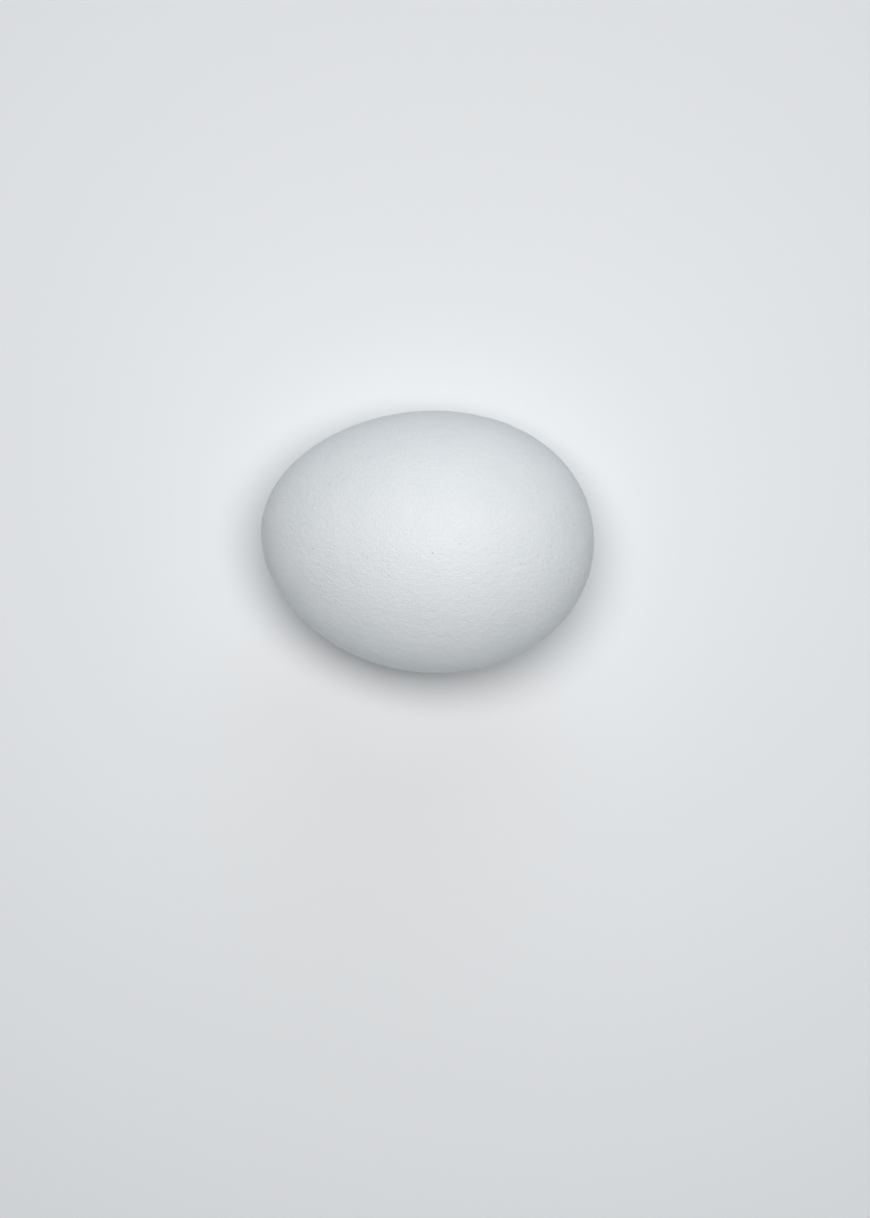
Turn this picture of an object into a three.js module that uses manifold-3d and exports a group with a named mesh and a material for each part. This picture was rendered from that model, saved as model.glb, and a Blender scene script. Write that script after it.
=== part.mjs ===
// A white hen's egg lying on its side, whole and uncracked, as one solid. Millimetres, +Z up.
//
// The long axis runs along X, with the blunt end at +X and the pointed end at -X. The origin is on
// the small flat spot that the egg rests on, right under its centre of mass. As a real egg does
// when it lies still, it leans a little, with the pointed end lower than the blunt one.

import * as THREE from "three";
import { mergeVertices } from "three/addons/utils/BufferGeometryUtils.js";
import Module from "manifold-3d";

// Driving dimensions, in millimetres
const length = 57; // from the tip of the pointed end to the tip of the blunt end
const middleRadius = 22.4; // radius of the section half-way along
const sideBow = 0.65; // how far both ends bow sideways, to +Y, because no egg is quite true
const sideTwist = 0.45; // how much more the pointed end bows than the blunt one
const flatDepth = 0.2; // how much is taken off the underside for the flat spot

// Shape of the outline. Each is a share of the radius, see outlineRadius
const taper = 0.052; // fuller towards the blunt end, slimmer towards the pointed end
const shoulders = -0.008; // both ends slimmer than an ellipse's if below 0
const tips = 0.025; // a blunter blunt tip and a sharper pointed tip

// Fineness
const facetDetail = 19; // the solid has 20 * (facetDetail + 1) ** 2 facets before it is cut
const profileSteps = 2000; // steps along the axis when the profile is summed or searched

const shellColour = 0xe9ebec;

// Along the axis, u runs from -1 at the pointed tip to +1 at the blunt tip.

// How much fuller or slimmer than an ellipsoid the egg is at u.
function fullnessAt(u) {
  return 1 + taper * u + shoulders * u ** 2 + tips * u ** 3;
}

function outlineRadius(u) {
  return middleRadius * Math.sqrt(1 - u * u) * fullnessAt(u);
}

// How far the middle of the section at u lies to the side of the straight axis.
function bowAt(u) {
  return sideBow * (u ** 2 - 1 / 3) - sideTwist * (u ** 3 - 0.6 * u);
}

// The centre of mass of an even solid, as how far it is along and beside the axis.
function centreOfMass() {
  let volume = 0;
  let along = 0;
  let beside = 0;
  for (let i = 0; i < profileSteps; i++) {
    const u = -1 + (2 * (i + 0.5)) / profileSteps;
    const slice = outlineRadius(u) ** 2;
    volume += slice;
    along += slice * u * (length / 2);
    beside += slice * bowAt(u);
  }
  return { along: along / volume, beside: beside / volume };
}

// An egg on its side lies still on the place of its outline that is nearest to its centre of
// mass. This finds how far that place is from the axis and how much the egg leans on it.
function restingPlace(centre) {
  let nearest = Infinity;
  let atU = 0;
  for (let i = 0; i <= profileSteps; i++) {
    const u = -0.5 + i / profileSteps;
    const distance = Math.hypot(u * (length / 2) - centre.along, outlineRadius(u));
    if (distance < nearest) {
      nearest = distance;
      atU = u;
    }
  }
  const toBluntEnd = atU * (length / 2) - centre.along;
  return { height: nearest, lean: Math.asin(toBluntEnd / nearest) };
}

// A sphere of even triangles, its points moved out to the egg's surface, its axis along X.
function eggGeometry(centre) {
  const egg = new THREE.IcosahedronGeometry(1, facetDetail);
  const points = egg.getAttribute("position");
  for (let i = 0; i < points.count; i++) {
    const u = THREE.MathUtils.clamp(points.getX(i), -1, 1);
    const across = middleRadius * fullnessAt(u);
    points.setXYZ(
      i,
      u * (length / 2) - centre.along,
      points.getY(i) * across + bowAt(u) - centre.beside,
      points.getZ(i) * across,
    );
  }
  return egg;
}

// The block of space under the flat spot, as wide as the egg is long.
function blockBelow() {
  const block = new THREE.BoxGeometry(length, length, length);
  return block.translate(0, 0, -length / 2);
}

const wasm = await Module();
wasm.setup();

// A closed three.js geometry as a solid, its points merged by place alone.
function solidFrom(geometry) {
  const bare = geometry.clone();
  bare.deleteAttribute("normal");
  bare.deleteAttribute("uv");
  const merged = mergeVertices(bare, 1e-4);
  return new wasm.Manifold(
    new wasm.Mesh({
      numProp: 3,
      vertProperties: merged.getAttribute("position").array,
      triVerts: new Uint32Array(merged.index.array),
    }),
  );
}

function geometryFrom(solid) {
  const mesh = solid.getMesh();
  const geometry = new THREE.BufferGeometry();
  geometry.setAttribute("position", new THREE.BufferAttribute(mesh.vertProperties, 3));
  geometry.setIndex(new THREE.BufferAttribute(mesh.triVerts, 1));
  geometry.computeVertexNormals();
  return geometry;
}

function makeEgg() {
  const centre = centreOfMass();
  const rest = restingPlace(centre);
  const body = eggGeometry(centre)
    .rotateY(rest.lean)
    .translate(0, 0, rest.height - flatDepth);
  const cut = solidFrom(body).subtract(solidFrom(blockBelow()));
  const shell = new THREE.MeshStandardMaterial({
    color: shellColour,
    roughness: 0.55,
    metalness: 0,
  });
  const egg = new THREE.Mesh(geometryFrom(cut), shell);
  egg.name = "egg";
  return egg;
}

const part = new THREE.Group();
part.add(makeEgg());

export default part;
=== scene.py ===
import math

import bmesh
import bpy
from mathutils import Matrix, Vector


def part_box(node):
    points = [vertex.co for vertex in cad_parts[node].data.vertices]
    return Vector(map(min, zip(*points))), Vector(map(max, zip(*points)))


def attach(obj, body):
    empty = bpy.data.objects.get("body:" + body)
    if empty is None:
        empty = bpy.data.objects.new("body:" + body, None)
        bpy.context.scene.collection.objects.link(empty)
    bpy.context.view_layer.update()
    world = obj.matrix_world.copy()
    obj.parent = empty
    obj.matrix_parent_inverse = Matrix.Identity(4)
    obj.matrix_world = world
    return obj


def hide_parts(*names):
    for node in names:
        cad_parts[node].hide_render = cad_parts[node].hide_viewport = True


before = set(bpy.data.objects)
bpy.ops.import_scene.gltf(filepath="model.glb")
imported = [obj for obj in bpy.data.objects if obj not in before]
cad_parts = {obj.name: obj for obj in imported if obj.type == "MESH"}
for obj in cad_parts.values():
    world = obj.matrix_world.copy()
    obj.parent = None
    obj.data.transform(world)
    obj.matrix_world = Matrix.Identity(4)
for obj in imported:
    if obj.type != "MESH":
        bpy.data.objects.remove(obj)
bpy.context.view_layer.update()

mm = 0.001

# A white hen's egg lying on its side, seen from straight above.
# X runs along the egg, blunt end at +X. It rests on a small flat spot at the origin.

eggShape = {
    "timesCutInTwo": 7,  # how often the cube's faces are cut in two each way: 7 gives 98304 faces
    "lean": 3.2,  # degrees, the pointed end lower than the blunt one
    "taper": 0.052,  # fuller towards the blunt end
    "shoulders": -0.008,  # both ends slimmer than an ellipse's
    "tips": 0.025,  # blunter blunt tip, sharper pointed tip
    "sideBow": 0.65 * mm,  # both ends bow to +Y
    "sideTwist": 0.45 * mm,  # the pointed end more than the blunt one
    "latticeRings": 15,
    "latticeReach": 1.25,  # the lattice is this much longer than the egg
}

# Relief of the skin, from its broad unevenness down to the fine pebbling of the shell
eggRelief = [
    {"name": "unevenGrowth", "size": 9 * mm, "depth": 0.06 * mm, "layers": 1},
    {"name": "softLumps", "size": 2 * mm, "depth": 0.03 * mm, "layers": 1},
    {"name": "pebbles", "size": 0.36 * mm, "depth": 0.15 * mm, "layers": 0},
]


def freshStart():
    if bpy.context.mode != "OBJECT":
        bpy.ops.object.mode_set(mode="OBJECT")
    bpy.ops.object.select_all(action="DESELECT")


def selectWhere(piece, test):
    bpy.ops.mesh.select_all(action="DESELECT")
    shape = bmesh.from_edit_mesh(piece.data)
    for corner in shape.verts:
        corner.select = test(corner.co)
    shape.select_flush(True)
    bmesh.update_edit_mesh(piece.data)


def extent(piece, axis):
    places = [corner.co[axis] for corner in piece.data.vertices]
    return min(places), max(places)


# A cube cut finer and rounded again each time, so its faces stay even all over the ball
def roundBall():
    freshStart()
    bpy.ops.mesh.primitive_cube_add(size=2, location=(0, 0, 0))
    ball = bpy.context.object
    ball.name = ball.data.name = "egg_skin"
    bpy.ops.object.mode_set(mode="EDIT")
    for cut in range(eggShape["timesCutInTwo"]):
        bpy.ops.mesh.select_all(action="SELECT")
        bpy.ops.mesh.subdivide(number_cuts=1)
        bpy.ops.transform.tosphere(value=1)
    bpy.ops.object.mode_set(mode="OBJECT")
    print("ball rounded:", len(ball.data.polygons), "faces")
    return ball


# Stretches the ball to the egg's length and breadth
def stretchBall(ball, halfLength, middleRadius):
    ballRadius = extent(ball, 0)[1]
    bpy.ops.object.mode_set(mode="EDIT")
    bpy.ops.mesh.select_all(action="SELECT")
    bpy.ops.transform.resize(
        value=(halfLength / ballRadius, middleRadius / ballRadius, middleRadius / ballRadius)
    )
    bpy.ops.object.mode_set(mode="OBJECT")


def fullnessAt(u):
    return 1 + eggShape["taper"] * u + eggShape["shoulders"] * u**2 + eggShape["tips"] * u**3


# The 1/3 and the 0.6 keep the bow from shifting or turning the egg as a whole
def bowAt(u):
    return eggShape["sideBow"] * (u**2 - 1 / 3) - eggShape["sideTwist"] * (u**3 - 0.6 * u)


# A lattice round the stretched ball, each of its rings drawn in or let out, and shifted sideways
def taperWithLattice(egg, halfLength, middleRadius):
    freshStart()
    bpy.ops.object.add(type="LATTICE", location=(0, 0, 0))
    cage = bpy.context.object
    cage.name = "egg_cage"
    cage.scale = (
        2 * halfLength * eggShape["latticeReach"],
        2 * middleRadius,
        2 * middleRadius,
    )
    cage.data.points_u = eggShape["latticeRings"]
    cage.data.interpolation_type_u = "KEY_CARDINAL"
    cage.data.interpolation_type_v = cage.data.interpolation_type_w = "KEY_LINEAR"
    for point in cage.data.points:
        u = point.co.x * 2 * eggShape["latticeReach"]
        point.co_deform.y = point.co.y * fullnessAt(u) + bowAt(u) / (2 * middleRadius)
        point.co_deform.z = point.co.z * fullnessAt(u)
    freshStart()
    egg.select_set(True)
    bpy.context.view_layer.objects.active = egg
    bend = egg.modifiers.new("cage", "LATTICE")
    bend.object = cage
    bpy.context.view_layer.update()
    bpy.ops.object.modifier_apply(modifier=bend.name)
    bpy.data.objects.remove(cage)


# Leans the egg and sets it where its solid is, as long, as broad and as high
def seatEgg(egg, low, high):
    bpy.ops.object.mode_set(mode="EDIT")
    bpy.ops.mesh.select_all(action="SELECT")
    bpy.ops.transform.rotate(
        value=math.radians(eggShape["lean"]), orient_axis="Y", center_override=(0, 0, 0)
    )
    bpy.ops.object.mode_set(mode="OBJECT")
    left, right = extent(egg, 0)
    front, back = extent(egg, 1)
    along = (high.x - low.x) / (right - left)
    across = (high.y - low.y) / (back - front)
    print("lean check, height of the tips:", tipHeights(egg))
    print("fit to the solid, along and across:", round(along, 5), round(across, 5))
    bpy.ops.object.mode_set(mode="EDIT")
    bpy.ops.mesh.select_all(action="SELECT")
    bpy.ops.transform.resize(value=(along, across, across), center_override=(0, 0, 0))
    bpy.ops.object.mode_set(mode="OBJECT")
    move = (
        low.x - extent(egg, 0)[0],
        low.y - extent(egg, 1)[0],
        high.z - extent(egg, 2)[1],
    )
    bpy.ops.object.mode_set(mode="EDIT")
    bpy.ops.mesh.select_all(action="SELECT")
    bpy.ops.transform.translate(value=move)
    bpy.ops.object.mode_set(mode="OBJECT")
    print("egg spans, in mm:", [[round(p / mm, 3) for p in extent(egg, a)] for a in range(3)])


def tipHeights(egg):
    corners = egg.data.vertices
    pointed = min(corners, key=lambda corner: corner.co.x)
    blunt = max(corners, key=lambda corner: corner.co.x)
    return round(pointed.co.z / mm, 3), round(blunt.co.z / mm, 3)


# One displace modifier for each kind of relief
def pressRelief(egg):
    for relief in eggRelief:
        pattern = bpy.data.textures.new(relief["name"], "CLOUDS")
        pattern.noise_scale = relief["size"]
        pattern.noise_depth = relief["layers"]
        press = egg.modifiers.new(relief["name"], "DISPLACE")
        press.texture = pattern
        press.texture_coords = "LOCAL"
        press.strength = relief["depth"]
        press.mid_level = 0.5
        bpy.ops.object.modifier_apply(modifier=press.name)
    print("relief pressed:", ", ".join(relief["name"] for relief in eggRelief))


# What lies below the table is pressed flat onto it
def flattenRestSpot(egg):
    bpy.ops.object.mode_set(mode="EDIT")
    selectWhere(egg, lambda place: place.z < 0)
    bpy.ops.transform.resize(value=(1, 1, 0), center_override=(0, 0, 0))
    bpy.ops.object.mode_set(mode="OBJECT")
    print("rest spot flattened")


def makeEgg():
    low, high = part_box("egg")
    halfLength = (high.x - low.x) / 2
    middleRadius = (high.y - low.y) / 2
    egg = roundBall()
    stretchBall(egg, halfLength, middleRadius)
    taperWithLattice(egg, halfLength, middleRadius)
    pressRelief(egg)
    seatEgg(egg, low, high)
    flattenRestSpot(egg)
    bpy.ops.object.shade_smooth()
    egg.data.materials.append(eggshellWhite())
    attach(egg, "root")
    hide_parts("egg")


eggFinish = {
    "white": (0.818, 0.831, 0.838),
    "cloud": (0.8, 0.817, 0.826),  # faint clouds in the white
    "cloudSize": 7 * mm,
    "cloudEdges": (0.35, 0.65),  # the noise at which a cloud starts and is full
    "speckSize": 0.3 * mm,
    "speckEdges": (0.3, 0.7),
    "speckDarkness": 0.05,
    "poreSpacing": 2.4 * mm,
    "poreRadius": 0.16 * mm,
    "poreCore": 0.5,  # the share of its radius that is as deep, and as dark with painted shade, as it gets
    # painted shade for the pits of the pores, also the colour the random specks fade to
    "poreShadeAndSpeckColour": (0.64, 0.65, 0.655),
    "poreDepth": 0.05 * mm,
    "grainSize": 0.28 * mm,
    "grainDepth": 0.075 * mm,
    "roughness": (0.50, 0.60),
    "roughPatchSize": 0.6 * mm,
    "refraction": 1.5,
    "gloss": 0.4,
}


# Matt white: faint clouds and specks in the colour, fine grain and open pores in the surface, the
# pores also painted darker as painted shade in their pits
def eggshellWhite():
    finish = bpy.data.materials.new("eggshellWhite")
    finish.use_nodes = True
    nodes, links = finish.node_tree.nodes, finish.node_tree.links
    shader = nodes["Principled BSDF"]
    place = nodes.new("ShaderNodeTexCoord").outputs["Object"]

    def noise(size, detail):
        grain = nodes.new("ShaderNodeTexNoise")
        links.new(place, grain.inputs["Vector"])
        grain.inputs["Scale"].default_value = 1 / size
        grain.inputs["Detail"].default_value = detail
        return grain.outputs["Fac"]

    def remap(value, lowIn, highIn, lowOut, highOut):
        node = nodes.new("ShaderNodeMapRange")
        links.new(value, node.inputs["Value"])
        ends = (lowIn, highIn, lowOut, highOut)
        for socket, end in zip(("From Min", "From Max", "To Min", "To Max"), ends):
            node.inputs[socket].default_value = end
        return node.outputs["Result"]

    # A mix of colours has them at its inputs 6 and 7, and the result at its output 2
    def blendColours(share, first, second):
        node = nodes.new("ShaderNodeMix")
        node.data_type = "RGBA"
        links.new(share, node.inputs["Factor"])
        for socket, colour in ((6, first), (7, second)):
            if isinstance(colour, tuple):
                node.inputs[socket].default_value = (*colour, 1)
            else:
                links.new(colour, node.inputs[socket])
        return node.outputs[2]

    def calculate(operation, first, second):
        node = nodes.new("ShaderNodeMath")
        node.operation = operation
        for socket, value in enumerate((first, second)):
            if isinstance(value, (int, float)):
                node.inputs[socket].default_value = value
            else:
                links.new(value, node.inputs[socket])
        return node.outputs[0]

    clouds = noise(eggFinish["cloudSize"], 3)
    clouds = remap(clouds, *eggFinish["cloudEdges"], 0, 1)
    specks = noise(eggFinish["speckSize"], 2)
    specks = remap(specks, *eggFinish["speckEdges"], 0, eggFinish["speckDarkness"])

    pores = nodes.new("ShaderNodeTexVoronoi")
    links.new(place, pores.inputs["Vector"])
    pores.inputs["Scale"].default_value = 1 / eggFinish["poreSpacing"]
    poreEdge = eggFinish["poreRadius"] / eggFinish["poreSpacing"]
    inPore = remap(pores.outputs["Distance"], poreEdge * eggFinish["poreCore"], poreEdge, 1, 0)

    colour = blendColours(clouds, eggFinish["white"], eggFinish["cloud"])
    # the specks fade towards the same colour, as tone that differs at random
    colour = blendColours(specks, colour, eggFinish["poreShadeAndSpeckColour"])
    # painted shade: the colour darkens inside each pore, standing in for the shade in its pit
    colour = blendColours(inPore, colour, eggFinish["poreShadeAndSpeckColour"])
    links.new(colour, shader.inputs["Base Color"])

    rough = noise(eggFinish["roughPatchSize"], 2)
    rough = remap(rough, *eggFinish["speckEdges"], *eggFinish["roughness"])
    links.new(rough, shader.inputs["Roughness"])

    grainHeight = calculate("MULTIPLY", noise(eggFinish["grainSize"], 0), eggFinish["grainDepth"])
    poreHeight = calculate("MULTIPLY", inPore, eggFinish["poreDepth"])
    bump = nodes.new("ShaderNodeBump")
    bump.inputs["Distance"].default_value = 1
    links.new(calculate("SUBTRACT", grainHeight, poreHeight), bump.inputs["Height"])
    links.new(bump.outputs["Normal"], shader.inputs["Normal"])

    shader.inputs["IOR"].default_value = eggFinish["refraction"]
    shader.inputs["Specular IOR Level"].default_value = eggFinish["gloss"]
    return finish


studio = {
    "floorRadius": 0.5,
    "floorCorners": 192,
    "floorColour": (0.902, 0.904, 0.907),
    "floorRoughness": 0.7,
    "floorGloss": 0.2,
    # one softbox overhead, wider along the egg than across it
    "boxPlace": (0.01, 0.036, 0.48),
    "boxWidth": 0.31,
    "boxDepth": 0.2,
    "boxPower": 1.83,
    "boxColour": (0.98, 0.983, 0.991),
    # the room round it, pale along the horizon
    "roomColour": (0.795, 0.922, 1.0),
    "horizonStrength": 0.56,
    "horizonHeight": (0.12, 0.25),  # it fades to dark between these heights of a unit sky dome
    # beyond the picture's upper edge a large window, beyond its lower edge a weaker one;
    # spread is in degrees from the middle, full inside the first and dark outside the second
    "windows": [
        {"direction": (0.1, 0.81, 0.57), "spread": (16, 26), "strength": 1.15},
        {"direction": (0, -0.95, 0.31), "spread": (14, 34), "strength": 0.35},
    ],
}


def makeFloor():
    freshStart()
    bpy.ops.mesh.primitive_circle_add(
        vertices=studio["floorCorners"],
        radius=studio["floorRadius"],
        fill_type="NGON",
        location=(0, 0, 0),
    )
    floor = bpy.context.object
    floor.name = floor.data.name = "studio_floor"
    paint = bpy.data.materials.new("palePaper")
    paint.use_nodes = True
    shader = paint.node_tree.nodes["Principled BSDF"]
    shader.inputs["Base Color"].default_value = (*studio["floorColour"], 1)
    shader.inputs["Roughness"].default_value = studio["floorRoughness"]
    shader.inputs["Specular IOR Level"].default_value = studio["floorGloss"]
    floor.data.materials.append(paint)
    print("floor laid")


def makeRoom():
    world = bpy.data.worlds.new("paleRoom")
    world.use_nodes = True
    nodes, links = world.node_tree.nodes, world.node_tree.links
    sky = nodes["Background"]
    sky.inputs["Color"].default_value = (*studio["roomColour"], 1)
    direction = nodes.new("ShaderNodeTexCoord").outputs["Generated"]

    # Brightness that falls off as the direction turns from one axis
    def glow(axis, fullAt, darkAt, strength):
        along = nodes.new("ShaderNodeVectorMath")
        along.operation = "DOT_PRODUCT"
        links.new(direction, along.inputs[0])
        along.inputs[1].default_value = axis
        fade = nodes.new("ShaderNodeMapRange")
        links.new(along.outputs["Value"], fade.inputs["Value"])
        fade.inputs["From Min"].default_value = darkAt
        fade.inputs["From Max"].default_value = fullAt
        fade.inputs["To Max"].default_value = strength
        return fade.outputs["Result"]

    total = glow((0, 0, 1), *studio["horizonHeight"], studio["horizonStrength"])
    for window in studio["windows"]:
        full, dark = (math.cos(math.radians(angle)) for angle in window["spread"])
        both = nodes.new("ShaderNodeMath")
        both.operation = "ADD"
        links.new(total, both.inputs[0])
        links.new(glow(window["direction"], full, dark, window["strength"]), both.inputs[1])
        total = both.outputs[0]
    links.new(total, sky.inputs["Strength"])
    bpy.context.scene.world = world
    print("room lit through", len(studio["windows"]), "windows")


def hangSoftbox():
    freshStart()
    bpy.ops.object.light_add(type="AREA", location=studio["boxPlace"])
    box = bpy.context.object
    box.name = box.data.name = "softbox"
    box.data.shape = "ELLIPSE"
    box.data.size = studio["boxWidth"]
    box.data.size_y = studio["boxDepth"]
    box.data.energy = studio["boxPower"]
    box.data.color = studio["boxColour"]
    box.visible_camera = False
    box.rotation_euler = (-box.location).to_track_quat("-Z", "Y").to_euler()
    view = bpy.context.scene.view_settings
    view.view_transform = "Standard"
    view.look = "None"
    print("softbox hung")


camera = {
    "lens": 85,
    "nearestSeen": 10 * mm,
    "height": 0.5138,  # above the floor
    "roll": 2.8,  # degrees, so that the blunt end lies a little lower in the picture
    "aside": (1.35 * mm, -11.53 * mm),  # from over the egg's middle, across and up the picture
}


def makeCamera():
    low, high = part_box("egg")
    roll = math.radians(camera["roll"])
    across, up = camera["aside"]
    freshStart()
    bpy.ops.object.camera_add(
        location=(
            (low.x + high.x) / 2 + across * math.cos(roll) - up * math.sin(roll),
            (low.y + high.y) / 2 + across * math.sin(roll) + up * math.cos(roll),
            camera["height"],
        ),
        rotation=(0, 0, roll),
    )
    eye = bpy.context.object
    eye.name = "photo_camera"
    eye.data.lens = camera["lens"]
    eye.data.clip_start = camera["nearestSeen"]
    bpy.context.scene.camera = eye
    print("camera set")


makeEgg()
makeFloor()
makeRoom()
hangSoftbox()
makeCamera()

freshStart()
